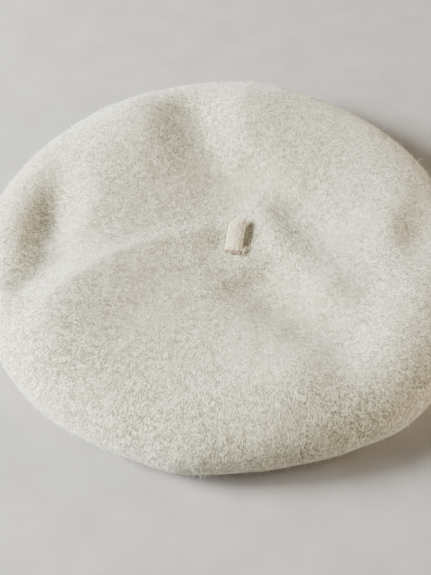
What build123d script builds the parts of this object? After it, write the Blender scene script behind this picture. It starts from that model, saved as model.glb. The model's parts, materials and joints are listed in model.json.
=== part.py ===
"""Soft wool beret, laid flat with its head opening down.

Millimetres, +Z up, -Y is the front. The origin is the middle of the underside,
on the surface it lies on.
"""

import os
from math import cos, degrees, radians, sin

from build123d import *

os.makedirs("parts", exist_ok=True)

# Felt shell
outer_radius = 140.0
crown_height = 34.0  # outer face at the highest ring of the crown
dish_height = 20.5  # outer face at the centre, which sinks a little
shoulder_radius = 104.0  # where the crown begins to roll over into the rim
rim_height = 14.0  # level of the widest ring
felt = 2.3  # thickness of the fulled wool
opening_radius = 88.4  # face of the turned-up hem that looks into the head opening
hem_height = 15.0
hem_bend = 3.4  # outer radius of the fold between underside and hem

# Stalk: a flat strip of the same felt, flexing where it leaves the crown
stalk_width = 9.8
stalk_thickness = 4.0
stalk_length = 18.0  # along its bend, above the hinge line
stalk_start_lean = 72.0  # degrees back from upright at the hinge line
stalk_end_lean = 90.0  # degrees back from upright at the tip
stalk_turn = 8.0  # degrees that its lean points right of straight back
stalk_edge = 1.3
hinge_gap = 0.4  # between the stalk's round heel and the crown

# Stalk's inner end, spread flat under the crown
slit_gap = 0.2
slit_corner = 0.9
foot_radius = 8.5
foot_thickness = 1.6
foot_gap = 0.1
foot_stitches = 8
foot_stitch_reach = (6.2, 10.2)  # radii where each stitch enters the foot and the crown
foot_stitch_bite = 0.4
foot_stitch_sag = 0.35

# Ribbon, elastic and threads in the opening
ribbon = 0.8
ribbon_bottom = 1.2
ribbon_width = 13.5
ribbon_join = 0.4  # gap where the two ends meet, at the back
elastic = 0.8
elastic_bottom = 4.2
elastic_width = 6.0
layer_gap = 0.1
thread_radius = 0.3
band_stitch_levels = (2.7, 12.8)
band_stitch_count = 90
band_stitch_depth = 1.8  # how far each goes into the hem

# Yarn that closes the knitted shape along one radial line, seen only inside
yarn_radius = 0.45
yarn_stitch = 3.2
yarn_stitch_count = 42
yarn_span = (0.07, 0.9)  # share of the felt's path from centre to hem edge
yarn_slant = 24.0  # degrees, alternate stitches slant opposite ways
yarn_angle = -60.0  # degrees round from +X

# Woven label inside the crown
label_width = 52.0
label_depth = 24.0
label_thickness = 0.5
label_centre = 46.0  # behind the middle of the crown
label_stitch_inset = 1.4
label_stitch_grid = (13, 5)  # stitches along its width and depth
label_stitch_bite = 1.0  # into the felt
label_stitch_stand = 0.25  # proud of the label

# Folded care label: its tail is caught between ribbon and hem, and its loop flaps outside the hem
care_angle = 180.0  # degrees round from +X
care_width = 20.0
care_length = 21.0
care_thickness = 1.0
care_droop = 25.0  # degrees below level at rest
care_gap = 0.35
care_tail = 0.6
care_tail_bottom = 10.6

hem_outer = opening_radius + felt
hem_centre = opening_radius + hem_bend
floor_radius = outer_radius - rim_height
inner_dish = dish_height - felt
hinge_height = dish_height + hinge_gap + stalk_thickness / 2
foot_bottom = inner_dish - foot_gap - foot_thickness
elastic_outer = opening_radius - layer_gap
ribbon_outer = elastic_outer - elastic - layer_gap
ribbon_inner = ribbon_outer - ribbon
care_hinge_radius = hem_outer + care_gap + care_thickness / 2
care_hinge_height = hem_height + care_gap + care_thickness / 2
stalk_plane = Plane.XY.rotated((0, 0, -stalk_turn))


def radial_plane(angle):
    """Upright plane through the centre line: local x runs outward and local y up."""
    turn = radians(angle)
    return Plane((0, 0, 0), x_dir=(cos(turn), sin(turn), 0), z_dir=(sin(turn), -cos(turn), 0))


def crown_line(depth):
    """Crown from the centre to the shoulder, at a depth under its outer face."""
    return Spline(
        (0, dish_height - depth),
        (shoulder_radius, crown_height - depth),
        tangents=((1, 0), (1, 0)),
    )


def felt_face(depth):
    """The whole felt from the centre to the hem's edge, at a depth under its outer face."""
    with BuildLine() as face:
        crown_line(depth)
        EllipticalCenterArc(
            (shoulder_radius, rim_height),
            outer_radius - shoulder_radius - depth,
            crown_height - rim_height - depth,
            start_angle=0,
            arc_size=90,
        )
        CenterArc((floor_radius, rim_height), rim_height - depth, -90, 90)
        Line((floor_radius, depth), (hem_centre, depth))
        CenterArc((hem_centre, hem_bend), hem_bend - depth, 180, 90)
        Line((opening_radius + depth, hem_bend), (opening_radius + depth, hem_height))
    return face


def crown_layer(shallow, deep):
    """Half-section of a thin dished layer that follows the crown between two depths."""
    with BuildSketch(Plane.XZ) as layer:
        with BuildLine():
            upper = crown_line(shallow)
            lower = crown_line(deep)
            Line(upper @ 0, lower @ 0)
            Line(upper @ 1, lower @ 1)
        make_face()
    return layer.sketch


def ring(inner, outer, bottom):
    """Flat ring round the centre line at a height."""
    with BuildSketch(Plane.XY.offset(bottom)) as band:
        Circle(outer)
        Circle(inner, mode=Mode.SUBTRACT)
    return band.sketch


def finish(part, name):
    """Name a finished piece and write it."""
    part.label = name
    export_step(part, f"parts/{name}.step")


# Knitted and fulled shell: crown, rim, underside and turned-up hem are one piece
outer_face = felt_face(0)
inner_face = felt_face(felt)
with BuildPart() as felt_body:
    with BuildSketch(Plane.XZ):
        with BuildLine():
            add(outer_face.line)
            add(inner_face.line)
            Line((0, dish_height), (0, inner_dish))
            Line((opening_radius, hem_height), (hem_outer, hem_height))
        make_face()
    revolve(axis=Axis.Z)
    with BuildSketch(stalk_plane.offset(crown_height)):
        RectangleRounded(stalk_width, stalk_thickness, slit_corner)
    extrude(amount=-crown_height, mode=Mode.SUBTRACT)
finish(felt_body.part, "felt_body")

# Yarn that closes the knitted shape, in slanting stitches across the join
join_path = inner_face.wires()[0]
join_plane = radial_plane(yarn_angle)
with BuildPart() as linking_yarn:
    for count in range(yarn_stitch_count):
        share = count / (yarn_stitch_count - 1)
        along = yarn_span[0] + share * (yarn_span[1] - yarn_span[0])
        slant = radians(yarn_slant if count % 2 else -yarn_slant)
        place = join_plane.from_local_coords(join_path @ along)
        forward = join_plane.x_dir * (join_path % along).X + join_plane.y_dir * (join_path % along).Y
        across = join_plane.z_dir * cos(slant) + forward * sin(slant)
        with Locations(Plane(place, z_dir=across)):
            Cylinder(yarn_radius, yarn_stitch)
finish(linking_yarn.part, "linking_yarn")

# Stalk, which flexes about a line just above the crown
stalk_bend = stalk_end_lean - stalk_start_lean
lean_plane = Plane((0, 0, 0), x_dir=stalk_plane.y_dir, z_dir=stalk_plane.x_dir)
with BuildPart() as stalk:
    with BuildSketch(lean_plane):
        with BuildLine():
            lean = JernArc(
                start=(0, hinge_height),
                tangent=(sin(radians(stalk_start_lean)), cos(radians(stalk_start_lean))),
                radius=stalk_length / radians(stalk_bend),
                arc_size=-stalk_bend,
            )
        SlotArc(lean, stalk_thickness)
    extrude(amount=stalk_width / 2, both=True)
    side_faces = stalk.faces().sort_by(Axis((0, 0, 0), stalk_plane.x_dir))
    fillet(side_faces[0].edges() + side_faces[-1].edges(), stalk_edge)
finish(stalk.part, "stalk")

# Stalk's root: its neck fills the slit and its end is spread into a flat foot inside
with BuildPart() as stalk_root:
    with BuildSketch(stalk_plane.offset(foot_bottom)):
        Circle(foot_radius)
    extrude(amount=foot_thickness)
    with BuildSketch(stalk_plane.offset(foot_bottom)):
        RectangleRounded(
            stalk_width - 2 * slit_gap,
            stalk_thickness - 2 * slit_gap,
            slit_corner - slit_gap,
        )
    extrude(amount=dish_height - foot_bottom)
finish(stalk_root.part, "stalk_root")

# Stitches from the foot into the crown, each a short thread that sags between its two holes
with BuildPart() as foot_stitch:
    with BuildLine(Plane.XZ) as foot_thread:
        start_radius, end_radius = foot_stitch_reach
        ThreePointArc(
            (start_radius, foot_bottom + foot_stitch_bite),
            ((start_radius + end_radius) / 2, foot_bottom - foot_stitch_sag),
            (end_radius, inner_dish + foot_stitch_bite),
        )
    with BuildSketch(Plane(foot_thread.line @ 0, z_dir=foot_thread.line % 0)):
        Circle(thread_radius)
    sweep()
with BuildPart() as stalk_stitches:
    with PolarLocations(0, foot_stitches):
        add(foot_stitch.part)
finish(stalk_stitches.part, "stalk_stitches")

# Grosgrain ribbon round the head opening, its ends meeting at the back
with BuildPart() as sweatband:
    extrude(ring(ribbon_inner, ribbon_outer, ribbon_bottom), amount=ribbon_width)
    with BuildSketch(Plane.XY.offset(ribbon_bottom)):
        with Locations((0, ribbon_outer)):
            Rectangle(ribbon_join, 4 * ribbon)
    extrude(amount=ribbon_width, mode=Mode.SUBTRACT)
finish(sweatband.part, "sweatband")

# Elastic hidden between ribbon and hem
with BuildPart() as elastic_tape:
    extrude(ring(elastic_outer - elastic, elastic_outer, elastic_bottom), amount=elastic_width)
finish(elastic_tape.part, "elastic_tape")

# Two rows of stitches through ribbon and hem
band_stitch_end = opening_radius + band_stitch_depth
with BuildPart() as band_stitches:
    for level in band_stitch_levels:
        with Locations((0, 0, level)):
            with PolarLocations((ribbon_inner + band_stitch_end) / 2, band_stitch_count):
                Cylinder(thread_radius, band_stitch_end - ribbon_inner, rotation=(0, 90, 0))
finish(band_stitches.part, "band_stitches")

# Woven label, which follows the dish of the crown
label_face = felt + layer_gap
label_back = label_face + label_thickness
with BuildPart() as woven_label:
    revolve(crown_layer(label_face, label_back), axis=Axis.Z)
    with Locations((0, label_centre, dish_height)):
        Box(label_width, label_depth, crown_height, mode=Mode.INTERSECT)
finish(woven_label.part, "woven_label")

# Stitches round the label's edge, into the felt
stitch_width = label_width - 2 * label_stitch_inset
stitch_depth = label_depth - 2 * label_stitch_inset
wide_count, deep_count = label_stitch_grid
stitch_layer = crown_layer(felt - label_stitch_bite, label_back + label_stitch_stand)
with BuildPart() as label_stitches:
    with BuildSketch():
        with Locations((0, label_centre)):
            with GridLocations(stitch_width / (wide_count - 1), stitch_depth, wide_count, 2):
                Circle(thread_radius)
            with GridLocations(stitch_width, stitch_depth / (deep_count + 1), 2, deep_count):
                Circle(thread_radius)
    extrude(amount=crown_height)
    revolve(stitch_layer, axis=Axis.Z, mode=Mode.INTERSECT)
finish(label_stitches.part, "label_stitches")

# Care label's tail, caught by the upper row of stitches and turned out over the hem
tail_inner = ribbon_outer + layer_gap
tail_outer = tail_inner + care_tail
tail_level = hem_height + layer_gap
tail_arc = degrees(care_width / opening_radius)
with BuildPart() as care_label_tail:
    with BuildSketch(radial_plane(care_angle - tail_arc / 2)):
        with BuildLine():
            Polyline(
                (tail_inner, care_tail_bottom),
                (tail_outer, care_tail_bottom),
                (tail_outer, tail_level),
                (hem_outer, tail_level),
                (hem_outer, tail_level + care_tail),
                (tail_inner, tail_level + care_tail),
                close=True,
            )
        make_face()
    revolve(axis=Axis.Z, revolution_arc=tail_arc)
finish(care_label_tail.part, "care_label_tail")

# Care label's folded loop, which flaps about its crease
with BuildPart() as care_label:
    with BuildSketch(radial_plane(care_angle)):
        with BuildLine():
            fall = PolarLine((care_hinge_radius, care_hinge_height), care_length, angle=-care_droop)
        SlotCenterPoint(fall @ 0.5, fall @ 0, care_thickness)
    extrude(amount=care_width / 2, both=True)
finish(care_label.part, "care_label")
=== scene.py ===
import json
import math

import bpy
import numpy as np
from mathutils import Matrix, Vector


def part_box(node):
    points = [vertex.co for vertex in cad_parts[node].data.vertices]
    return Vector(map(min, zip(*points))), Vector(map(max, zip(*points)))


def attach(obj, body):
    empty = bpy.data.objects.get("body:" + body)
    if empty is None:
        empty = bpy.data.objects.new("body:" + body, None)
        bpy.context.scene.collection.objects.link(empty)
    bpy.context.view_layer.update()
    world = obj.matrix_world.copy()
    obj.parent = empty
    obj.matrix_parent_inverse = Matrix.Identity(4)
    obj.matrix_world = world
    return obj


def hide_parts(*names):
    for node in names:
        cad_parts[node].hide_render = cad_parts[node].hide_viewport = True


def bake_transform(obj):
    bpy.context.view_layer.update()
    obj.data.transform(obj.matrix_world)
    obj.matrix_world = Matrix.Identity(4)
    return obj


# A soft wool beret, laid flat with its head opening down. Metres, +Z up, -Y the near side.
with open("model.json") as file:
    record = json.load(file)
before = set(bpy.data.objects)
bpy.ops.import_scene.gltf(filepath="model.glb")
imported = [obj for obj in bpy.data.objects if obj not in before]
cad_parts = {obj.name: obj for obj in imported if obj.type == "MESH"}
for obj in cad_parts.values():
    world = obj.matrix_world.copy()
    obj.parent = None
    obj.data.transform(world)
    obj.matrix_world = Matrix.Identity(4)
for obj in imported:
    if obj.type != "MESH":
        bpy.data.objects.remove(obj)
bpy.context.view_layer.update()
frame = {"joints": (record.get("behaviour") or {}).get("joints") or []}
MM = 0.001
TINY = 1e-12
chance = np.random.default_rng(20)

# ---------------------------------------------------------------- places taken from the frame
FELT_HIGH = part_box("felt_body")[1]
BAND_LOW, BAND_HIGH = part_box("sweatband")
ELASTIC_LOW, ELASTIC_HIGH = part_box("elastic_tape")
LABEL_LOW, LABEL_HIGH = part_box("woven_label")
ROOT_LOW, ROOT_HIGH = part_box("stalk_root")
TAIL_LOW, TAIL_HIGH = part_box("care_label_tail")
HINGES = {joint["name"]: Vector(joint["pos_m"]) for joint in frame["joints"]}

# ---------------------------------------------------------------- sizes of the felt
OUTER = FELT_HIGH.x
CROWN = FELT_HIGH.z
DISH = ROOT_HIGH.z  # outer face at the centre of the crown
FELT = 2.3 * MM
SHOULDER = 104 * MM  # where the crown begins to roll over into the rim
RIM = 14 * MM  # level of the widest ring
FLOOR_RADIUS = OUTER - RIM
HEM_BEND = 3.4 * MM
HEM_RADIUS = ELASTIC_HIGH.x + 0.1 * MM
HEM_TOP = 15 * MM
HEM_EDGE_CROWN = 0.5 * MM  # how far the hem's raw edge rounds up in its middle
SHIFT = 3.2 * MM  # how far the rim lies to the left of the stalk and the opening
SECTORS = 540
CENTRE_RINGS = 9  # rings between the stalk's slit and the round part of the crown
CENTRE_RADIUS = 12 * MM
PUCKER = 0.3 * MM  # the felt's rise round the stalk
PUCKER_RADIUS = 4 * MM

# ---------------------------------------------------------------- sizes of the stalk
STALK_HALF_WIDTH = 4.9 * MM
STALK_HALF_THICKNESS = 2.0 * MM
STALK_ROOT = DISH - 3 * MM  # its lower end, inside the foot
STALK_REACH = 24.4 * MM  # along its centre line, from the root to the tip
STALK_BEND = (2.2 * MM, 5.9 * MM)  # where it bends over, measured the same way
STALK_LEAN = (math.radians(72), math.radians(90))  # back from upright, at the hinge and at the tip
STALK_TURN = math.radians(-8)

# ---------------------------------------------------------------- sizes of the sewn pieces
BAND_INNER = 86.6 * MM  # the ribbon's inner face, which a head meets
BAND_GAP = 0.2 * MM  # half the gap between the ribbon's ends
BAND_RIBS = 520
BAND_STITCHES = 90  # in each row
BAND_STITCH_LEVELS = (2.7 * MM, 12.8 * MM)
ELASTIC_INNER = 87.5 * MM
FOOT_STITCHES = 8
FOOT_STITCH_REACH = (6.2 * MM, 10.4 * MM)  # radii where each stitch enters the foot and the crown
LABEL_STITCH_INSET = 1.4 * MM
LABEL_STITCH_GRID = (13, 7)  # spots along the label's width and depth, the corners included in both
YARN_STITCHES = 42
YARN_SPAN = (0.07, 0.9)  # share of the felt's inner path, from the centre
YARN_ANGLE = 300  # degrees round from +X
TAIL_RADIUS = 87.8 * MM  # of the care label's sewn-in end
CARE_HALF_WIDTH = 10 * MM
CARE_REACH = 20 * MM  # of the loop, from its hinge
CARE_DROOP = math.radians(25)

# ---------------------------------------------------------------- how the felt lies
# Folds: crest or trough line (x, y in mm), height in mm at its start and end, and half widths in mm
# to the left and right of the line as it runs.
FOLDS = (
    ([(-22, 100), (-16, 78), (-2, 56), (22, 44)], -8.0, -5.4, 14, 24),
    ([(8, 104), (13, 78), (30, 58)], 4.0, 3.0, 30, 14),
    ([(-54, 98), (-54, 78)], 3.2, 2.8, 20, 28),
    ([(-96, -56), (-84, -38), (-62, -16), (-36, 0), (-12, 10)], 4.6, 3.2, 9, 34),
    ([(-112, -36), (-94, -14), (-72, 6)], -4.4, -1.4, 10, 9),
    ([(22, 28), (32, 4), (56, -26)], 6.2, 4.2, 18, 12),
    ([(40, 26), (52, 4), (76, -30)], -6.8, -5.6, 23, 18),
    ([(-10, -36), (6, -54), (34, -82)], 3.8, 4.2, 18, 26),
    ([(22, -24), (34, -38), (62, -64)], -4.2, -6.8, 16, 20),
)
# Dents and swells: centre (x, y in mm), half sizes along and across in mm, turn in degrees, height in mm.
SWELLS = (
    ((-102, 12), (38, 15), 86, -13.0),
    ((100, -8), (52, 24), 90, 3.4),
    ((108, 4), (22, 13), 80, -7.0),
    ((26, -46), (56, 34), -20, -5.4),
    ((20, -104), (60, 20), 0, 1.2),
)
# Outline of the rim: direction in degrees, half width in degrees, how far it stands out in mm.
OUTLINE = (
    (-45, 17, 3.4),
    (-80, 18, -3.4),
    (-137, 15, 1.8),
    (82, 24, 1.8),
    (22, 18, -2.2),
    (140, 16, -1.4),
    (180, 30, 2.0),
)
# Rim wall: direction and half width in degrees, share by which it stands taller.
RIM_LIFT = (
    (180, 40, 0.05),
    (-60, 30, 0.04),
    (60, 35, -0.05),
    (-110, 22, -0.05),
)
# Lumps of the fulled wool: height and size in mm.
LUMPS = ((0.34, 10.0), (0.16, 4.0))


# ---------------------------------------------------------------- small helpers
def smooth(low, high, value):
    """0 below low, 1 above high, with an eased step between."""
    t = np.clip((value - low) / (high - low), 0, 1)
    return t * t * (3 - 2 * t)


def unit(vectors):
    """The same vectors with a length of one."""
    return vectors / (np.linalg.norm(vectors, axis=-1, keepdims=True) + TINY)


def make_mesh(name, points, faces, material):
    """Smooth-shaded mesh object from points in metres and arrays of three- or four-cornered faces."""
    corners = np.concatenate([part.ravel() for part in faces]).astype(np.int32)
    sizes = np.concatenate([np.full(len(part), part.shape[1]) for part in faces])
    starts = np.concatenate([[0], np.cumsum(sizes)[:-1]]).astype(np.int32)
    mesh = bpy.data.meshes.new(name)
    mesh.vertices.add(len(points))
    mesh.vertices.foreach_set("co", points.astype(np.float32).ravel())
    mesh.loops.add(len(corners))
    mesh.loops.foreach_set("vertex_index", corners)
    mesh.polygons.add(len(sizes))
    mesh.polygons.foreach_set("loop_start", starts)
    mesh.polygons.foreach_set("use_smooth", np.ones(len(sizes), bool))
    mesh.update(calc_edges=True)
    mesh.materials.append(material)
    piece = bpy.data.objects.new(name, mesh)
    bpy.context.scene.collection.objects.link(piece)
    return piece


def grid_faces(rows, columns, closed_rows=False):
    """Four-cornered faces over rows of points, each row closed on itself."""
    row = np.arange(rows if closed_rows else rows - 1)[:, None]
    column = np.arange(columns)[None, :]
    following = (row + 1) % rows * columns
    a = row * columns + column
    b = row * columns + (column + 1) % columns
    c = following + (column + 1) % columns
    d = following + column
    return np.stack([a, b, c, d], axis=-1).reshape(-1, 4)


def lattice_noise(points, size, seed):
    """Smooth random field from -1 to 1 over points, with lumps of about the given size."""
    scaled = points / size + seed * 17.31
    cell = np.floor(scaled).astype(np.int64)
    part = scaled - cell
    part = part * part * (3 - 2 * part)
    total = np.zeros(points.shape[:-1])
    for corner in np.ndindex(*(2,) * points.shape[-1]):
        key = np.zeros(points.shape[:-1], np.int64)
        weight = np.ones(points.shape[:-1])
        for axis, step in enumerate(corner):
            key = key * 73856093 + (cell[..., axis] + step) * (19349663 + 83492791 * axis)
            weight = weight * (part[..., axis] if step else 1 - part[..., axis])
        key = (key ^ (key >> 13)) * 1274126177
        value = ((key ^ (key >> 16)) & 0xFFFF) / 0x8000 - 1.0
        total += weight * value
    return total


def tubes(paths, radii, sidelong, sides):
    """Closed tubes along many short paths (count, steps, 3).

    sidelong (count, 3) steadies their sections."""
    count, steps = radii.shape
    ahead = unit(np.gradient(paths, axis=1))
    up = unit(np.cross(ahead, sidelong[:, None, :]))
    side = np.cross(up, ahead)
    turn = np.linspace(0, 2 * math.pi, sides, endpoint=False)
    ring = side[:, :, None] * np.cos(turn)[:, None] + up[:, :, None] * np.sin(turn)[:, None]
    points = paths[:, :, None] + ring * radii[:, :, None, None]
    first = (np.arange(count) * steps * sides)[:, None, None]
    walls = (grid_faces(steps, sides)[None] + first).reshape(-1, 4)
    fan = np.array([[0, i + 1, i] for i in range(1, sides - 1)])
    ends = np.concatenate([fan, fan[:, ::-1] + (steps - 1) * sides])
    caps = (ends[None] + first).reshape(-1, 3)
    return points.reshape(-1, 3), [walls, caps]


def joined(parts):
    """Several (points, faces) sets as one."""
    points, faces, first = [], [], 0
    for some_points, some_faces in parts:
        points.append(some_points)
        faces += [part + first for part in some_faces]
        first += len(some_points)
    return np.concatenate(points), faces


# ---------------------------------------------------------------- material nodes
class Graph:
    """Short calls for the nodes of one Principled material."""

    def __init__(self, name):
        self.material = bpy.data.materials.new(name)
        self.material.use_nodes = True
        self.tree = self.material.node_tree
        self.shader = self.tree.nodes["Principled BSDF"]
        self.place = self.node("ShaderNodeTexCoord").outputs["Object"]

    def node(self, kind, **settings):
        made = self.tree.nodes.new(kind)
        for key, value in settings.items():
            setattr(made, key, value)
        return made

    def put(self, value, socket):
        """Link an output to a socket, or set the socket to a plain value."""
        if isinstance(value, bpy.types.NodeSocket):
            self.tree.links.new(value, socket)
        else:
            socket.default_value = value

    def math(self, operation, a, b=0.0):
        made = self.node("ShaderNodeMath", operation=operation)
        self.put(a, made.inputs[0])
        self.put(b, made.inputs[1])
        return made.outputs[0]

    def times(self, a, b):
        return self.math("MULTIPLY", a, b)

    def plus(self, a, b):
        return self.math("ADD", a, b)

    def vector(self, x, y, z):
        made = self.node("ShaderNodeCombineXYZ")
        for value, socket in zip((x, y, z), made.inputs):
            self.put(value, socket)
        return made.outputs[0]

    def axes(self):
        made = self.node("ShaderNodeSeparateXYZ")
        self.put(self.place, made.inputs[0])
        return made.outputs

    def noise(self, place, scale, detail=2.0, roughness=0.55, fourth=None):
        made = self.node("ShaderNodeTexNoise", noise_dimensions="3D" if fourth is None else "4D")
        self.put(place, made.inputs["Vector"])
        if fourth is not None:
            self.put(fourth, made.inputs["W"])
        made.inputs["Scale"].default_value = scale
        made.inputs["Detail"].default_value = detail
        made.inputs["Roughness"].default_value = roughness
        return made.outputs["Fac"]

    def spread(self, value, low, high, new_low=0.0, new_high=1.0):
        """Map low..high to new_low..new_high, clamped and eased."""
        made = self.node("ShaderNodeMapRange", interpolation_type="SMOOTHSTEP")
        for item, socket in zip((value, low, high, new_low, new_high), made.inputs):
            self.put(item, socket)
        return made.outputs[0]

    def mix(self, share, a, b):
        made = self.node("ShaderNodeMix", data_type="RGBA")
        self.put(share, made.inputs[0])
        self.put(a, made.inputs[6])
        self.put(b, made.inputs[7])
        return made.outputs[2]

    def blend(self, share, a, b):
        made = self.node("ShaderNodeMix", data_type="FLOAT")
        self.put(share, made.inputs[0])
        self.put(a, made.inputs[2])
        self.put(b, made.inputs[3])
        return made.outputs[0]

    def finish(self, colour, height, depth, rough, sheen=0.0):
        """Wire colour, bump of a real depth in metres, roughness and an even sheen."""
        self.put(colour, self.shader.inputs["Base Color"])
        self.put(rough, self.shader.inputs["Roughness"])
        self.shader.inputs["Sheen Weight"].default_value = sheen
        self.shader.inputs["Sheen Roughness"].default_value = 0.6
        self.shader.inputs["Specular IOR Level"].default_value = 0.2
        bump = self.node("ShaderNodeBump")
        bump.inputs["Strength"].default_value = 1.0
        bump.inputs["Distance"].default_value = depth
        self.put(height, bump.inputs["Height"])
        self.put(bump.outputs["Normal"], self.shader.inputs["Normal"])
        return self.material


def wool_grain(graph):
    """Matted fibre grain, 0 in its gaps to 1 on its fibres, drawn out from the centre to the rim."""
    across, along = 170.0, 780.0  # grains: round the hat per radius, and outward per metre
    central = 1400.0  # grains across per metre near the centre, where the drawn-out grain has no direction
    matting = {"scale": 1.0, "detail": 2.5, "roughness": 0.65}
    x, y, z = graph.axes()
    radius = graph.math("SQRT", graph.plus(graph.times(x, x), graph.times(y, y)))
    safe = graph.plus(radius, 1e-5)
    cosine = graph.times(graph.math("DIVIDE", x, safe), across)
    sine = graph.times(graph.math("DIVIDE", y, safe), across)
    spot = graph.vector(cosine, sine, graph.times(z, along))
    polar = graph.noise(spot, **matting, fourth=graph.times(radius, along))
    spot = graph.vector(graph.times(x, central), graph.times(y, along), graph.times(z, along))
    straight = graph.noise(spot, **matting)
    return graph.blend(graph.spread(radius, 0.03, 0.07), straight, polar)


def wool_felt():
    """Cream fulled wool: matted grain with painted shade in its gaps, warm and cool patches, and a bloom of
    fine fibres.
    """
    graph = Graph("wool_felt")
    grain = wool_grain(graph)
    fine = graph.noise(graph.place, 2600.0, 1.0)
    tufts = graph.noise(graph.place, 330.0, 2.0)
    height = graph.plus(graph.times(grain, 0.60), graph.times(fine, 0.20))
    height = graph.plus(height, graph.times(tufts, 0.20))
    # The grain's low spots are painted dark: painted shade in the gaps between fibres, over the fibres' own
    # uneven tone.
    colour = graph.mix(graph.spread(height, 0.40, 0.66), (0.17, 0.14, 0.075, 1), (1.0, 0.95, 0.72, 1))
    patches = graph.noise(graph.place, 30.0, 3.0, 0.6)
    colour = graph.mix(graph.spread(patches, 0.40, 0.75, 0.0, 0.34), colour, (0.66, 0.57, 0.40, 1))
    rough = graph.spread(grain, 0.3, 0.7, 0.98, 0.86)
    return graph.finish(colour, height, 1.2 * MM, rough, sheen=0.6)


def wool_fibre():
    """Loose wool fibres, each a little lighter or warmer than the next; the darker ones are painted shade
    among the fibres.
    """
    graph = Graph("wool_fibre")
    patches = graph.noise(graph.place, 700.0, 1.0)
    # Dark fibres stand in for shade among the fibres: painted shade, beside their own uneven tone.
    colour = graph.mix(graph.spread(patches, 0.40, 0.58), (0.46, 0.39, 0.25, 1), (1.0, 0.97, 0.82, 1))
    return graph.finish(colour, patches, 0.02 * MM, graph.spread(patches, 0.3, 0.7, 0.7, 0.9), sheen=0.2)


def stalk_felt():
    """The stalk's denser felt, pressed smooth, with faint ribs along it and painted shade in its low spots.
    """
    graph = Graph("stalk_felt")
    x, y, z = graph.axes()
    rib_pitch = 1.35 * MM
    along_x, along_y = math.cos(STALK_TURN), -math.sin(STALK_TURN)
    across = graph.math("SUBTRACT", graph.times(x, along_x), graph.times(y, along_y))
    ribs = graph.math("SINE", graph.times(across, 2 * math.pi / rib_pitch))
    grain = graph.noise(graph.vector(graph.times(across, 2.4), y, z), 700.0, 3.0, 0.65)
    height = graph.plus(graph.times(ribs, 0.06), graph.times(grain, 0.94))
    # Colour follows the bump's height: the low spots of ribs and grain are painted darker as painted shade,
    # over the felt's own speckle.
    colour = graph.mix(graph.spread(height, 0.34, 0.60), (0.46, 0.38, 0.22, 1), (0.94, 0.88, 0.66, 1))
    warm = graph.noise(graph.place, 260.0, 2.0)
    colour = graph.mix(graph.spread(warm, 0.45, 0.75, 0.0, 0.35), colour, (0.80, 0.70, 0.48, 1))
    # Browner at the stalk's foot, on its near side, in patches.
    foot_browning = graph.times(graph.spread(y, -3 * MM, 2 * MM, 1.0, 0.0), graph.spread(warm, 0.42, 0.60))
    colour = graph.mix(graph.times(foot_browning, 0.7), colour, (0.46, 0.30, 0.17, 1))
    return graph.finish(colour, height, 0.25 * MM, graph.spread(grain, 0.3, 0.7, 0.95, 0.85), sheen=0.3)


def frayed_felt():
    """Fibres rubbed loose at the stalk's foot, some of them brown."""
    graph = Graph("frayed_felt")
    patches = graph.noise(graph.place, 900.0, 2.0)
    colour = graph.mix(graph.spread(patches, 0.42, 0.54), (0.36, 0.22, 0.11, 1), (0.92, 0.84, 0.68, 1))
    return graph.finish(colour, patches, 0.03 * MM, graph.spread(patches, 0.3, 0.7, 0.95, 0.8), sheen=0.2)


def woven(name, dark, light, threads, depth, sheen):
    """Ribbon stock with a little uneven wear.

    The warp term comes out at nearly nothing, so no weave shows: the ribs are those of the mesh."""
    graph = Graph(name)
    x, y, z = graph.axes()
    angle = graph.math("ARCTAN2", y, x)
    pitch = 2 * math.pi / threads
    warp = graph.math("SINE", graph.times(angle, 2 * math.pi * HEM_RADIUS / pitch))
    weft = graph.math("SINE", graph.times(z, 2 * math.pi / threads))
    weave = graph.times(warp, weft)
    wear = graph.noise(graph.place, 180.0, 3.0)
    share = graph.plus(graph.times(weave, 0.18), wear)
    colour = graph.mix(graph.spread(share, 0.25, 0.75), dark, light)
    return graph.finish(colour, weave, depth, graph.spread(wear, 0.3, 0.7, 0.75, 0.55), sheen=sheen)


def satin():
    """White satin label stock: close floats in one direction with a slight lustre."""
    graph = Graph("label_satin")
    x, y, z = graph.axes()
    floats = graph.noise(graph.vector(graph.times(x, 0.25), y, z), 3200.0, 1.0)
    shade = graph.noise(graph.place, 120.0, 2.0)
    colour = graph.mix(graph.spread(floats, 0.3, 0.7), (0.74, 0.73, 0.69, 1), (0.90, 0.89, 0.86, 1))
    colour = graph.mix(graph.spread(shade, 0.4, 0.8, 0.0, 0.25), colour, (0.80, 0.76, 0.66, 1))
    return graph.finish(colour, floats, 0.04 * MM, graph.spread(floats, 0.3, 0.7, 0.5, 0.35), sheen=0.15)


def spun(name, dark, light, rough):
    """Spun thread or yarn, its fibres a little uneven."""
    graph = Graph(name)
    fibres = graph.noise(graph.place, 2400.0, 3.0, 0.65)
    colour = graph.mix(graph.spread(fibres, 0.35, 0.65), dark, light)
    rough = graph.spread(fibres, 0.3, 0.7, rough, rough - 0.15)
    return graph.finish(colour, fibres, 0.08 * MM, rough, sheen=0.2)


# ---------------------------------------------------------------- felt shell
def bumps_round(angle, entries):
    """Sum of soft bumps round the rim at an angle in degrees."""
    total = np.zeros_like(angle)
    for centre, width, amount in entries:
        away = (angle - centre + 180) % 360 - 180
        total += amount * np.exp(-((away / width) ** 2))
    return total


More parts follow.
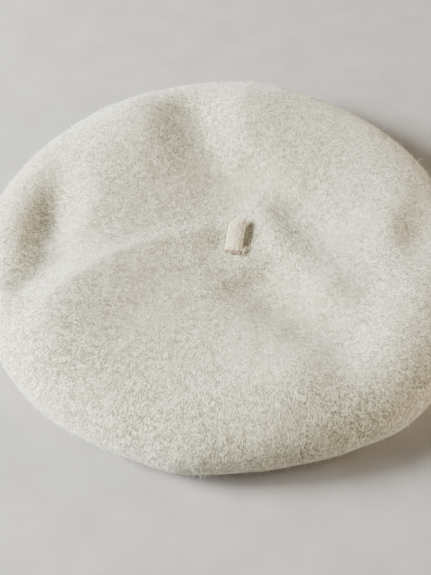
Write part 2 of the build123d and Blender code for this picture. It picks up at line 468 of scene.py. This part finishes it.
def fold_height(x, y, line, start, end, left, right):
    """Height of one fold at x, y, all in mm."""
    nearest = np.full(x.shape, 1e9)
    weights, shares, sides = 0, 0, 0
    count = len(line) - 1
    for i in range(count):
        (ax, ay), (bx, by) = line[i], line[i + 1]
        dx, dy = bx - ax, by - ay
        t = np.clip(((x - ax) * dx + (y - ay) * dy) / (dx * dx + dy * dy), 0, 1)
        away = np.hypot(x - ax - t * dx, y - ay - t * dy)
        beside = (dx * (y - ay) - dy * (x - ax)) / math.hypot(dx, dy)
        weight = (away * away + 4) ** -4.0
        nearest = np.minimum(nearest, away)
        weights = weights + weight
        shares = shares + weight * (i + t) / count
        sides = sides + weight * beside / (away + 1.0)
    share = shares / weights
    side = smooth(-1, 1, sides / weights)
    width = right + (left - right) * side
    return (start + (end - start) * share) * np.exp(-((nearest / width) ** 2))


def crown_relief(x, y):
    """Folds, dents and swells of the crown at x, y in metres, as a height in metres."""
    near_stalk = smooth(6 * MM, 26 * MM, np.hypot(x, y))
    x, y = (x + SHIFT) / MM, y / MM
    total = np.zeros_like(x)
    for fold in FOLDS:
        total += fold_height(x, y, *fold)
    for (cx, cy), (along, across), turn, height in SWELLS:
        c, s = math.cos(math.radians(turn)), math.sin(math.radians(turn))
        u = ((x - cx) * c + (y - cy) * s) / along
        v = (-(x - cx) * s + (y - cy) * c) / across
        total += height * np.exp(-(u * u + v * v))
    return total * near_stalk * MM


def crown_level(radius):
    """Height of the unfolded crown at a radius inside the shoulder."""
    share = np.clip(radius / SHOULDER, 0, 1)
    return DISH + (CROWN - DISH) * share * share * (3 - 2 * share)


def slit_radius(angle):
    """Distance from the centre to the slit's edge, a rounded box that fits the stalk."""
    turned = angle - STALK_TURN
    across = np.cos(turned) / STALK_HALF_WIDTH
    through = np.sin(turned) / STALK_HALF_THICKNESS
    return (np.abs(across) ** 4 + np.abs(through) ** 4) ** -0.25


def felt_rings():
    """The felt's outer face as rings: radius, height and number of the part that they belong to.

    The parts: 0 middle, 1 crown, 2 and 3 the rim's upper and lower half, 4 underside, 5 hem fold,
    6 hem wall."""
    middle = np.linspace(0, CENTRE_RADIUS, CENTRE_RINGS)[:-1]
    crown = np.linspace(CENTRE_RADIUS, SHOULDER, 56)
    turn = np.linspace(0, math.pi / 2, 22)[1:]
    upper_radius = SHOULDER + (OUTER - SHOULDER) * np.sin(turn)
    upper_height = RIM + (CROWN - RIM) * np.cos(turn)
    turn = np.linspace(0, math.pi / 2, 12)[1:]
    lower_radius = FLOOR_RADIUS + RIM * np.cos(turn)
    lower_height = RIM - RIM * np.sin(turn)
    floor = np.linspace(FLOOR_RADIUS, HEM_RADIUS + HEM_BEND, 14)[1:]
    turn = np.linspace(0, math.pi / 2, 6)[1:]
    bend_radius = HEM_RADIUS + HEM_BEND * (1 - np.sin(turn))
    bend_height = HEM_BEND * (1 - np.cos(turn))
    wall = np.linspace(HEM_BEND, HEM_TOP, 6)[1:]
    wall_radius = np.full(len(wall), HEM_RADIUS)
    radius = [middle, crown, upper_radius, lower_radius, floor, bend_radius, wall_radius]
    height = [crown_level(middle), crown_level(crown), upper_height, lower_height]
    height += [0 * floor, bend_height, wall]
    part = [np.full(len(some), i) for i, some in enumerate(radius)]
    return np.concatenate(radius), np.concatenate(height), np.concatenate(part)


TOP, UPPER_ROLL, UNDERSIDE, HEM_FOLD = 1, 2, 4, 5


def grid_normals(points):
    """Unit normals of closed rings of points, pointing out of the felt."""
    along = np.gradient(points, axis=0)
    around = np.roll(points, -1, 1) - np.roll(points, 1, 1)
    return unit(np.cross(along, around))


def felt_surface():
    """Outer face of the felt without its lumps, as rings of points, and each ring's part."""
    radius, height, part = felt_rings()
    angle = np.linspace(0, 2 * math.pi, SECTORS, endpoint=False)
    a = np.repeat(angle[None, :], len(radius), 0)
    r = np.repeat(radius[:, None], SECTORS, 1)
    z = np.repeat(height[:, None], SECTORS, 1)
    opened = (r / CENTRE_RADIUS)[: CENTRE_RINGS - 1]
    r[: CENTRE_RINGS - 1] = slit_radius(a[: CENTRE_RINGS - 1]) * (1 - opened) + CENTRE_RADIUS * opened
    degrees = np.degrees(a)
    # The rim's own shape fades in from the stalk outwards, and out again under the hat, where the
    # opening stays round and centred.
    under = (part >= UNDERSIDE)[:, None]
    loose = smooth(60 * MM, OUTER, r) * np.where(under, smooth(96 * MM, 126 * MM, r), 1)
    uneven = 0.9 * MM * lattice_noise(np.stack([np.cos(a), np.sin(a)], -1), size=0.18, seed=3)
    r = r * (1 + loose * bumps_round(degrees, OUTLINE) * MM / OUTER) + loose * uneven
    z = z * (1 + smooth(70 * MM, 120 * MM, r) * bumps_round(degrees, RIM_LIFT))
    shift = SHIFT * np.where(under, smooth(96 * MM, 120 * MM, r), smooth(20 * MM, 110 * MM, r))
    x, y = r * np.cos(a) - shift, r * np.sin(a)
    # The crown's folds run out down the rim's upper half.
    fade = np.where((part <= TOP)[:, None], 1.0, smooth(RIM * 0.9, CROWN * 0.86, z))
    fade = fade * (part <= UPPER_ROLL)[:, None]
    pucker = PUCKER * np.exp(-(((r - PUCKER_RADIUS) / PUCKER_RADIUS) ** 2)) * (part <= TOP)[:, None]
    z = z + fade * crown_relief(x, y) + pucker
    return np.stack([x, y, z], -1), part


def felt_faces():
    """Outer and inner face of the felt, as rings of points, with their outward normals."""
    plain, part = felt_surface()
    normal = grid_normals(plain)
    lumps = 0
    for seed, (height, size) in enumerate(LUMPS, 1):
        lumps = lumps + height * MM * lattice_noise(plain, size * MM, seed)
    lumps = lumps * smooth(8 * MM, 20 * MM, np.hypot(plain[..., 0], plain[..., 1]))
    lumps = lumps * (part < HEM_FOLD)[:, None]
    outer = plain + normal * lumps[..., None]
    outer[..., 2] = np.maximum(outer[..., 2], 0)
    inner = plain - normal * FELT
    inner[0, :, :2] = plain[0, :, :2]
    return outer, grid_normals(outer), inner, normal, part


def inner_rings(part):
    """Indices of the rings kept for the inner face: sparse on the crown, all of them at the hem."""
    count = len(part)
    keep = [i for i in range(count) if part[i] >= HEM_FOLD or i % 3 == 0 or i == count - 1]
    return np.array(keep)


def build_felt(faces, material):
    """The shell: outer face, hem edge, inner face and slit edge in one closed skin."""
    outer, _, inner, _, part = faces
    kept = inner[inner_rings(part)][::-1]
    edge = (outer[-1] + kept[0]) / 2
    edge[:, 2] += HEM_EDGE_CROWN
    rings = np.concatenate([outer, edge[None], kept])
    quads = grid_faces(len(rings), SECTORS, closed_rows=True)
    return make_mesh("felt_shell", rings.reshape(-1, 3), [quads[:, ::-1]], material)


# ---------------------------------------------------------------- wool nap
NAP_PIECES = 5
NAP_FIBRES = 14000  # in each piece
NAP_RADIUS = 0.07 * MM
NAP_START = 5.6 * MM  # clear of the stalk
NAP_LENGTH = (0.6, 1.5, 3.4)  # least, middle and greatest, in mm
STANDING_SHARE = 0.22  # of the fibres, which stand up from the felt
STANDING_START = 24 * MM  # none of them nearer the centre
STRAY_SHARE = 0.25  # of the standing fibres, which are twice as long
BACKWARD_SHARE = 0.25  # of the fibres, which lie towards the centre
FRAY_FIBRES = 700
FIBRE_FLOOR = 0.10 * MM  # no fibre reaches lower


def surface_spots(outer, normal, count):
    """Random spots spread evenly over the outer face, with the normal and the outward direction there."""
    a, b = outer[:-1], outer[1:]
    width = np.linalg.norm(np.roll(a, -1, 1) - a, axis=-1)
    length = np.linalg.norm(b - a, axis=-1)
    area = (width * length).ravel()
    cell = chance.choice(area.size, count, p=area / area.sum())
    row, column = np.divmod(cell, SECTORS)
    beside = (column + 1) % SECTORS
    u, v = chance.random((2, count, 1))

    def between(grid):
        near = grid[row, column] * (1 - u) + grid[row, beside] * u
        far = grid[row + 1, column] * (1 - u) + grid[row + 1, beside] * u
        return near * (1 - v) + far * v

    return between(outer), unit(between(normal)), unit(b[row, column] - a[row, column])


def fibres(spots, normal, outward, length, tilt, turn, curl, radius):
    """Tapered curved fibres from spots on a surface; angles in radians."""
    sideways = np.cross(normal, outward)
    lie = outward * np.cos(turn)[:, None] + sideways * np.sin(turn)[:, None]
    beside = np.cross(normal, lie)
    steps = np.array([0.0, 0.5, 1.0])
    ahead = (steps * np.cos(tilt)[:, None])[..., None] * lie[:, None]
    rise = (steps * np.sin(tilt)[:, None] * (1.15 - 0.3 * steps))[..., None] * normal[:, None]
    bow = (steps**2 * curl[:, None])[..., None] * beside[:, None]
    root = (spots - normal * 0.08 * MM)[:, None]
    paths = root + (ahead + rise + bow) * length[:, None, None]
    paths[..., 2] = np.maximum(paths[..., 2], FIBRE_FLOOR)
    radii = radius[:, None] * np.array([1.0, 0.8, 0.25])
    return tubes(paths, radii, beside, 3)


def build_nap(faces, material):
    """Fine fibres standing off the felt, in several pieces that each cover the whole hat."""
    outer, normal = faces[0], faces[1]
    least, middling, most = NAP_LENGTH
    made = []
    for piece in range(NAP_PIECES):
        spots, up, outward = surface_spots(outer, normal, NAP_FIBRES)
        away = np.hypot(spots[:, 0], spots[:, 1])
        clear = (away > HEM_RADIUS + 2 * HEM_BEND) | (spots[:, 2] > HEM_TOP)
        clear &= away > NAP_START
        spots, up, outward, away = spots[clear], up[clear], outward[clear], away[clear]
        count = len(spots)
        length = np.clip(chance.lognormal(math.log(middling), 0.35, count), least, most) * MM
        low = np.radians(chance.uniform(4, 24, count))
        high = np.radians(chance.uniform(25, 70, count))
        standing = (chance.random(count) < STANDING_SHARE) & (away > STANDING_START)
        tilt = np.where(standing, high, low)
        turn = chance.normal(0, 0.75, count)
        turn = turn + np.where(chance.random(count) < BACKWARD_SHARE, math.pi, 0)
        curl = chance.normal(0, 0.28, count)
        stray = standing & (chance.random(count) < STRAY_SHARE)
        length = np.where(stray, length * 2.0, length)
        radius = NAP_RADIUS * chance.uniform(0.7, 1.3, count)
        points, quads = fibres(spots, up, outward, length, tilt, turn, curl, radius)
        made.append(make_mesh(f"wool_nap_{piece + 1}", points, quads, material))
    return made


# ---------------------------------------------------------------- stalk
def stalk_line(distance):
    """Places and directions on the stalk's centre line, by distance from its root under the crown.

    It comes straight up through the slit, bends over just above the crown and lies back."""
    table = np.linspace(0, STALK_REACH + 2 * MM, 500)
    bend_start, bend_end = STALK_BEND
    further = np.clip((table - bend_end) / (STALK_REACH - bend_end), 0, 1)
    lean = STALK_LEAN[0] * smooth(bend_start, bend_end, table) + (STALK_LEAN[1] - STALK_LEAN[0]) * further
    step = table[1]
    back = np.interp(distance, table, np.cumsum(np.sin(lean)) * step)
    rise = np.interp(distance, table, np.cumsum(np.cos(lean)) * step)
    lean = np.interp(distance, table, lean)
    behind = np.array([math.sin(-STALK_TURN), math.cos(STALK_TURN), 0])
    upright = np.array([0, 0, 1])
    places = back[..., None] * behind + (STALK_ROOT + rise)[..., None] * upright
    ahead = np.sin(lean)[..., None] * behind + np.cos(lean)[..., None] * upright
    return places, ahead


def build_stalk(material):
    """Flat felt stalk: ribbed face, flared foot, one rounded corner and one small peak at its tip."""
    sides, rings = 64, 80
    squareness = 0.86
    turn = np.linspace(0, 2 * math.pi, sides, endpoint=False)
    share = np.linspace(0, 1, rings)
    across = np.sign(np.cos(turn)) * np.abs(np.cos(turn)) ** squareness
    depth = np.sign(np.sin(turn)) * np.abs(np.sin(turn)) ** squareness
    corner = 5.6 * MM * np.clip((0.3 - across) / 1.3, 0, 1) ** 2.4
    peak = 0.8 * MM * np.exp(-(((across - 0.75) / 0.22) ** 2))
    distance = share[:, None] * (STALK_REACH - corner + peak)[None, :]
    places, ahead = stalk_line(distance)
    sidelong = np.array([math.cos(STALK_TURN), math.sin(STALK_TURN), 0])
    up = np.cross(sidelong, ahead)
    flare = 0.26 * np.exp(-(((distance - STALK_BEND[0] - 1.0 * MM) / (1.6 * MM)) ** 2))
    tip = np.sqrt(np.clip(1 - smooth(0.86, 1.0, share) ** 2, 0.03, 1))[:, None]
    half_width = STALK_HALF_WIDTH * 0.95 * (1 + flare * 0.5)
    half_depth = STALK_HALF_THICKNESS * (0.90 + flare) * tip
    edge_lip = 0.45 * MM * np.exp(-(((across + 0.86) / 0.12) ** 2)) * np.sign(depth)
    ribs = 0.04 * MM * np.cos(across * 3.5 * math.pi) * np.sign(depth) * tip
    points = places + sidelong * (across * half_width)[..., None]
    roll = -0.12 * across * half_width * smooth(STALK_BEND[0], STALK_BEND[1] + 3 * MM, distance)
    points += up * (depth * half_depth + edge_lip + ribs + roll)[..., None]
    points += up * (0.14 * MM * lattice_noise(points, 2.6 * MM, seed=7))[..., None]
    points += sidelong * (0.20 * MM * lattice_noise(points, 5.0 * MM, seed=8))[..., None]
    here = np.arange(1, sides // 2 - 1)
    lid = np.stack([here, here + 1, sides - here - 1, sides - here], -1)
    ends = np.array([[0, 1, sides - 1], [sides // 2 - 1, sides // 2, sides // 2 + 1]])
    top = (rings - 1) * sides
    faces = [grid_faces(rings, sides)[:, ::-1], lid, ends, lid[:, ::-1] + top, ends[:, ::-1] + top]
    return make_mesh("stalk_felt", points.reshape(-1, 3), faces, material)


def build_foot(material):
    """The stalk's inner end, spread into a thin uneven disc under the crown."""
    sides = 72
    turn = np.linspace(0, 2 * math.pi, sides, endpoint=False)
    wobble = 1 - 0.05 * (1 + np.sin(5 * turn + 1.0)) / 2 - 0.03 * (1 + np.sin(11 * turn)) / 2
    top, bottom = DISH - FELT - 0.15 * MM, ROOT_LOW.z
    profile = [(radius, top) for radius in (2.4, 5.0, 7.6)]
    profile += [(8.5, (top + bottom) / 2)]
    profile += [(radius, bottom) for radius in (7.6, 5.0, 2.4)]
    rings = []
    for radius, level in profile:
        r = radius * MM * np.where(radius > 5, wobble, 1)
        ring = np.stack([r * np.cos(turn), r * np.sin(turn), np.full(sides, level)], -1)
        rings.append(ring)
    rings = np.array(rings)
    rings[..., 2] += 0.12 * MM * lattice_noise(rings, 2.5 * MM, seed=9)
    first, last = rings[0].mean(0), rings[-1].mean(0)
    points = np.concatenate([rings.reshape(-1, 3), first[None], last[None]])
    here = np.arange(sides)
    after = (here + 1) % sides
    start, end = len(points) - 2, len(points) - 1
    base = (len(rings) - 1) * sides
    lids = [
        np.stack([np.full(sides, start), here, after], -1),
        np.stack([base + after, base + here, np.full(sides, end)], -1),
    ]
    return make_mesh("stalk_foot", points, [grid_faces(len(rings), sides)[:, ::-1], *lids], material)


def build_fray(material):
    """Loose fibres round the stalk where it comes out of the crown."""
    count = FRAY_FIBRES
    turn = chance.uniform(0, 2 * math.pi, count)
    reach = slit_radius(turn) * chance.uniform(0.75, 1.5, count)
    level = DISH + chance.uniform(0.3, 1.6, count) * MM
    spots = np.stack([reach * np.cos(turn), reach * np.sin(turn), level], -1)
    outward = np.stack([np.cos(turn), np.sin(turn), 0 * turn], -1)
    normal = np.tile([0.0, 0.0, 1.0], (count, 1))
    length = chance.uniform(0.8, 2.4, count) * MM
    tilt = np.radians(chance.uniform(15, 85, count))
    swing = chance.normal(0, 1.0, count)
    curl = chance.normal(0, 0.4, count)
    radius = chance.uniform(0.05, 0.13, count) * MM
    points, faces = fibres(spots, normal, outward, length, tilt, swing, curl, radius)
    return make_mesh("stalk_fray", points, faces, material)


# ---------------------------------------------------------------- threads and yarn
def stitch_paths(starts, ends, normal, rise, dive, steps=11):
    """Paths of short stitches that dive into the cloth at both ends; normal points out of the cloth."""
    t = np.linspace(0, 1, steps)
    level = -dive + (rise + dive) * np.minimum(1, 2.2 * np.sin(math.pi * t))
    line = starts[:, None] * (1 - t)[:, None] + ends[:, None] * t[:, None]
    return line + level[:, None] * normal[:, None]


def twisted(paths, radius, normal, turns):
    """Two plies wound round each other along each path."""
    count, steps = paths.shape[:2]
    ahead = unit(np.gradient(paths, axis=1))
    side = unit(np.cross(ahead, normal[:, None]))
    up = np.cross(side, ahead)
    parts = []
    for ply in range(2):
        phase = math.pi * ply + 2 * math.pi * turns * np.linspace(0, 1, steps)[:, None]
        centre = paths + (side * np.cos(phase) + up * np.sin(phase)) * radius * 0.5
        parts.append(tubes(centre, np.full((count, steps), radius * 0.56), normal, 6))
    return joined(parts)


def round_the_hat(angle, radius, level):
    """Points at a radius and level, by their angles in radians."""
    return np.stack([radius * np.cos(angle), radius * np.sin(angle), level + 0 * angle], -1)


def build_band_stitches(material):
    """Two rows of running stitches on the ribbon's inner face."""
    angle = np.radians(np.arange(BAND_STITCHES) * 360 / BAND_STITCHES)
    half = 1.8 * MM / BAND_INNER
    normal = -round_the_hat(angle, 1, 0)
    parts = []
    for level in BAND_STITCH_LEVELS:
        ends = [round_the_hat(angle + side, BAND_INNER, level) for side in (-half, half)]
        paths = stitch_paths(*ends, normal, rise=0.12 * MM, dive=1.4 * MM)
        parts.append(twisted(paths, 0.24 * MM, normal, turns=1.5))
    points, faces = joined(parts)
    return make_mesh("band_thread", points, faces, material)


def under_crown(x, y, depth):
    """Height of the crown's inner side at x, y, a depth under its outer face."""
    def level(u, v):
        return crown_level(np.hypot(u, v)) + crown_relief(u, v)

    step = 0.5 * MM
    slope_x = (level(x + step, y) - level(x - step, y)) / (2 * step)
    slope_y = (level(x, y + step) - level(x, y - step)) / (2 * step)
    return level(x, y) - depth * np.sqrt(1 + slope_x**2 + slope_y**2)


def make_two_sided(name, layers, material):
    """A closed thin piece between two like grids of points, each (rows, columns, 3)."""
    rows, columns = layers[0].shape[:2]
    count = rows * columns
    index = np.arange(count).reshape(rows, columns)
    corners = [index[:-1, :-1], index[:-1, 1:], index[1:, 1:], index[1:, :-1]]
    quads = np.stack(corners, -1).reshape(-1, 4)
    border = np.concatenate([index[0, :-1], index[:-1, -1], index[-1, :0:-1], index[:0:-1, 0]])
    after = np.roll(border, -1)
    rim = np.stack([border, border + count, after + count, after], -1)
    points = np.concatenate(layers).reshape(-1, 3)
    return make_mesh(name, points, [quads, quads[:, ::-1] + count, rim], material)


def build_label(material):
    """Woven label under the crown, its two short ends folded under."""
    columns, rows = 79, 37
    fold = 5 * MM
    x = np.linspace(LABEL_LOW.x, LABEL_HIGH.x, columns)
    y = np.linspace(LABEL_LOW.y, LABEL_HIGH.y, rows)
    x, y = np.meshgrid(x, y)
    from_end = np.minimum(x - LABEL_LOW.x, LABEL_HIGH.x - x)
    thick = np.where(from_end < fold, 0.55, 0.32) * MM
    soft = 0.10 * MM * lattice_noise(np.stack([x, y], -1), 6 * MM, seed=5)
    upper = under_crown(x, y, FELT + 0.1 * MM) + soft
    layers = [np.stack([x, y, level], -1) for level in (upper, upper - thick)]
    return make_two_sided("crown_label", layers, material)


def build_label_stitches(material):
    """Short stitches round the label's edge."""
    half = 1.3 * MM
    inset, (wide_count, deep_count) = LABEL_STITCH_INSET, LABEL_STITCH_GRID
    wide = np.linspace(LABEL_LOW.x + inset, LABEL_HIGH.x - inset, wide_count)
    low_edge, high_edge = LABEL_LOW.y + inset, LABEL_HIGH.y - inset
    deep = np.linspace(low_edge, high_edge, deep_count)[1:-1]
    spots = [(x, y, half, 0) for y in (low_edge, high_edge) for x in wide]
    spots += [(x, y, 0, half) for x in (wide[0], wide[-1]) for y in deep]
    spots = np.array(spots)
    ends = []
    for side in (-1, 1):
        x, y = spots[:, 0] + side * spots[:, 2], spots[:, 1] + side * spots[:, 3]
        ends.append(np.stack([x, y, under_crown(x, y, FELT + 0.6 * MM)], -1))
    normal = np.tile([0.0, 0.0, -1.0], (len(spots), 1))
    paths = stitch_paths(*ends, normal, rise=0.12 * MM, dive=1.2 * MM)
    points, faces = twisted(paths, 0.2 * MM, normal, turns=1.2)
    return make_mesh("label_thread", points, faces, material)


def build_foot_stitches(material):
    """Stitches that tack the stalk's foot to the crown."""
    angle = np.radians(np.arange(FOOT_STITCHES) * 360 / FOOT_STITCHES)
    levels = (ROOT_LOW.z, DISH - FELT)
    ends = [round_the_hat(angle, reach, level) for reach, level in zip(FOOT_STITCH_REACH, levels)]
    normal = np.tile([0.0, 0.0, -1.0], (FOOT_STITCHES, 1))
    paths = stitch_paths(*ends, normal, rise=0.3 * MM, dive=0.8 * MM)
    points, faces = twisted(paths, 0.28 * MM, normal, turns=1.5)
    return make_mesh("foot_thread", points, faces, material)


def build_linking_yarn(faces, material):
    """Slanting yarn stitches that close the knitted shape along one line, on the felt's inner face."""
    _, _, inner, normal, _ = faces
    column = round(SECTORS * YARN_ANGLE / 360)
    line, up = inner[:, column], -normal[:, column]
    path = np.concatenate([[0], np.cumsum(np.linalg.norm(np.diff(line, axis=0), axis=1))])
    wanted = np.linspace(*YARN_SPAN, YARN_STITCHES) * path[-1]
    spot = np.stack([np.interp(wanted, path, line[:, axis]) for axis in range(3)], -1)
    out = unit(np.stack([np.interp(wanted, path, up[:, axis]) for axis in range(3)], -1))
    ahead = unit(np.gradient(spot, axis=0))
    beside = np.cross(out, ahead)
    slant = np.radians(np.where(np.arange(YARN_STITCHES) % 2, 24, -24))[:, None]
    reach = (beside * np.cos(slant) + ahead * np.sin(slant)) * 1.6 * MM
    paths = stitch_paths(spot - reach, spot + reach, out, rise=0.35 * MM, dive=0.6 * MM)
    points, quads = twisted(paths, 0.45 * MM, out, turns=1.2)
    return make_mesh("closing_yarn", points, quads, material)


# ---------------------------------------------------------------- ribbon, elastic and care label
def strip_section(inner, outer, low, high, rows):
    """Closed half-section of a flat band, its edges softly rounded."""
    levels = np.linspace(low, high, rows)
    middle = (inner + outer) / 2
    face_in = [(inner, z) for z in levels[1:-1]]
    face_out = [(outer, z) for z in levels[1:-1][::-1]]
    return np.array([(middle, low), *face_in, (middle, high), *face_out])


def build_ribbon(material):
    """Grosgrain ribbon round the opening: ribs across its width, its ends meeting at the back."""
    columns = BAND_RIBS * 4 + 1
    gap = BAND_GAP / BAND_HIGH.x
    turn = np.linspace(math.pi / 2 + gap, math.pi / 2 + 2 * math.pi - gap, columns)
    section = strip_section(BAND_INNER, BAND_HIGH.x, BAND_LOW.z, BAND_HIGH.z, rows=7)
    rib = 0.5 - 0.5 * np.cos(2 * math.pi * BAND_RIBS * np.linspace(0, 1, columns))
    swell = 0.55 + 0.45 * rib
    middle = (BAND_INNER + BAND_HIGH.x) / 2
    radius = middle + (section[:, 0] - middle)[None, :] * swell[:, None]
    level = np.repeat(section[:, 1][None, :], columns, 0)
    points = np.stack([radius * np.cos(turn)[:, None], radius * np.sin(turn)[:, None], level], -1)
    sides = len(section)
    quads = grid_faces(columns, sides)
    fan = np.array([[0, i, i + 1] for i in range(1, sides - 1)])
    faces = [quads, fan[:, ::-1], fan + (columns - 1) * sides]
    return make_mesh("grosgrain_band", points.reshape(-1, 3), faces, material)


def build_elastic(material):
    """Braided elastic between ribbon and hem, with ribs along its length."""
    columns = 360
    turn = np.linspace(0, 2 * math.pi, columns, endpoint=False)
    section = strip_section(ELASTIC_INNER, ELASTIC_HIGH.x, ELASTIC_LOW.z, ELASTIC_HIGH.z, rows=17)
    middle = (ELASTIC_INNER + ELASTIC_HIGH.x) / 2
    thin = np.where(np.arange(len(section)) % 2, 1.0, 0.72)
    radius = middle + (section[:, 0] - middle) * thin
    flat = np.stack([radius, 0 * radius, section[:, 1]], -1)
    points = np.repeat(flat[None], columns, 0)
    points[..., 1] = points[..., 0] * np.sin(turn)[:, None]
    points[..., 0] = points[..., 0] * np.cos(turn)[:, None]
    quads = grid_faces(columns, len(section), closed_rows=True)
    return make_mesh("elastic_band", points.reshape(-1, 3), [quads], material)


def care_label_path():
    """The care label's tape in its upright plane, tail first: distance from the centre line, and height."""
    hinge = HINGES["care_label_flap"]
    out = np.array([math.cos(CARE_DROOP), -math.sin(CARE_DROOP)]) * CARE_REACH
    layer = 0.26 * MM  # half the distance between the loop's two layers
    start = np.array([-hinge.x, hinge.z])
    ahead = out / CARE_REACH
    up = np.array([-ahead[1], ahead[0]]) * layer
    upper = [start + out * share + up for share in np.linspace(0, 1, 14)]
    fold = [start + out + ahead * layer * math.sin(a) + up * math.cos(a) for a in (0.6, 1.57, 2.5)]
    lower = [start + out * share - up for share in np.linspace(1, 0.08, 13)]
    loop = [*upper, *fold, *lower]
    over = TAIL_HIGH.z - 0.3 * MM  # level of the tape where it crosses the hem
    rise = over - 0.4 * MM - TAIL_LOW.z
    bend = TAIL_RADIUS + 0.35 * MM
    gap = upper[0][0] - TAIL_RADIUS - 0.8 * MM
    tail = [(TAIL_RADIUS, TAIL_LOW.z + rise * i / 5) for i in range(6)]
    tail += [(bend + gap * i / 4, over + 0.05 * MM * i) for i in range(5)]
    return np.array([*tail, *loop])


def build_care_label(material):
    """One tape: caught behind the ribbon, turned over the hem, then a loop that hangs inside the rim."""
    half_thickness = 0.15 * MM
    path = care_label_path()
    ahead = unit(np.gradient(path, axis=0))
    side = np.stack([-ahead[:, 1], ahead[:, 0]], -1)
    across = np.linspace(-CARE_HALF_WIDTH, CARE_HALF_WIDTH, 25)
    wave = 0.25 * MM * np.sin(across / CARE_HALF_WIDTH * 2.2 + 0.6)
    free = smooth(HEM_RADIUS + 6 * MM, HEM_RADIUS + 20 * MM, path[:, 0])
    layers = []
    for way in (1, -1):
        line = path + side * half_thickness * way
        grid = np.empty((len(path), len(across), 3))
        grid[..., 0] = -line[:, 0][:, None]
        grid[..., 1] = across[None, :]
        grid[..., 2] = line[:, 1][:, None] + free[:, None] * wave[None, :]
        layers.append(grid)
    return make_two_sided("care_tape", layers, material)


# ---------------------------------------------------------------- camera, light and floor
CAMERA_AIM = Vector((-0.0096, -0.0192, 0.010))
CAMERA_DISTANCE = 0.628
CAMERA_ELEVATION = math.radians(53.0)
CAMERA_ROLL = math.radians(1.5)
CAMERA_SENSOR, CAMERA_LENS = 36, 68.9
FLOOR_SIZE = 40
# Area lights: name, place, size, power in watts, colour.
LIGHTS = (
    ("window", (-1.22, 0.04, 0.62), 0.45, 75, (0.98, 1.0, 0.95)),
    ("low_sky", (-1.50, -0.10, 0.34), 0.9, 74, (0.88, 0.94, 0.98)),
    ("warm_room", (1.35, 0.05, 0.30), 0.8, 32, (1.0, 0.84, 0.64)),
)


def aim(thing, target):
    thing.rotation_euler = (Vector(target) - thing.location).to_track_quat("-Z", "Y").to_euler()


def build_camera():
    data = bpy.data.cameras.new("camera")
    camera = bpy.data.objects.new("camera", data)
    bpy.context.scene.collection.objects.link(camera)
    away = Vector((0, -math.cos(CAMERA_ELEVATION), math.sin(CAMERA_ELEVATION)))
    camera.location = CAMERA_AIM + CAMERA_DISTANCE * away
    aim(camera, CAMERA_AIM)
    camera.rotation_euler.rotate_axis("Z", CAMERA_ROLL)
    data.sensor_width = CAMERA_SENSOR
    data.lens = CAMERA_LENS
    bpy.context.scene.camera = camera


def build_light(name, place, size, power, colour):
    data = bpy.data.lights.new(name, "AREA")
    data.size = size
    data.energy = power
    data.color = colour
    lamp = bpy.data.objects.new(name, data)
    bpy.context.scene.collection.objects.link(lamp)
    lamp.location = place
    aim(lamp, (0, 0, 0.02))


def build_stage():
    bpy.ops.mesh.primitive_plane_add(size=FLOOR_SIZE)
    floor = bpy.context.object
    floor.name = "floor"
    graph = Graph("floor")
    paper = graph.noise(graph.place, 40.0, 3.0)
    colour = graph.mix(graph.spread(paper, 0.3, 0.7), (0.36, 0.34, 0.32, 1), (0.40, 0.38, 0.36, 1))
    floor.data.materials.append(graph.finish(colour, paper, 0.05 * MM, 0.9))
    world = bpy.data.worlds.new("studio")
    bpy.context.scene.world = world
    world.use_nodes = True
    sky = world.node_tree.nodes["Background"]
    sky.inputs["Color"].default_value = (0.78, 0.90, 1.0, 1)
    sky.inputs["Strength"].default_value = 0.12
    for light in LIGHTS:
        build_light(*light)


# ---------------------------------------------------------------- the hat
def place(piece, body, slot, *nodes):
    """Ride a piece on a body and hide the CAD nodes that it stands for. The slot, a finish's name, is not
    used.
    """
    if body:
        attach(piece, body)
    if nodes:
        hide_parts(*nodes)


build_camera()
build_stage()
felt_grids = felt_faces()

shell = build_felt(felt_grids, wool_felt())
place(shell, "hat", "wool_felt", "felt_body")
for nap in build_nap(felt_grids, wool_fibre()):
    place(nap, "hat", "wool_felt")

stalk_wool = stalk_felt()
stalk = build_stalk(stalk_wool)
place(stalk, None, "stalk_felt", "stalk")
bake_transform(stalk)
place(build_foot(stalk_wool), "hat", "stalk_felt", "stalk_root")
place(build_fray(frayed_felt()), "hat", "stalk_felt")

cotton = spun("thread", (0.66, 0.62, 0.54, 1), (0.88, 0.86, 0.80, 1), 0.75)
place(build_foot_stitches(cotton), "hat", "thread", "stalk_stitches")
place(build_band_stitches(cotton), "hat", "thread", "band_stitches")
place(build_label_stitches(cotton), "hat", "thread", "label_stitches")
yarn = spun("wool_yarn", (0.56, 0.51, 0.42, 1), (0.84, 0.80, 0.70, 1), 0.95)
place(build_linking_yarn(felt_grids, yarn), "hat", "wool_yarn", "linking_yarn")

grosgrain = woven("grosgrain", (0.60, 0.56, 0.47, 1), (0.80, 0.77, 0.68, 1), 0.45 * MM, 0.05 * MM, 0.1)
ribbon = build_ribbon(grosgrain)
place(ribbon, "hat", "grosgrain", "sweatband")
elastic_weave = woven("elastic", (0.70, 0.69, 0.66, 1), (0.86, 0.85, 0.82, 1), 0.6 * MM, 0.08 * MM, 0.05)
elastic = build_elastic(elastic_weave)
place(elastic, "hat", "elastic", "elastic_tape")

satin_white = satin()
label = build_label(satin_white)
place(label, "hat", "label_satin", "woven_label")
care = build_care_label(satin_white)
place(care, None, "label_satin", "care_label", "care_label_tail")
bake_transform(care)
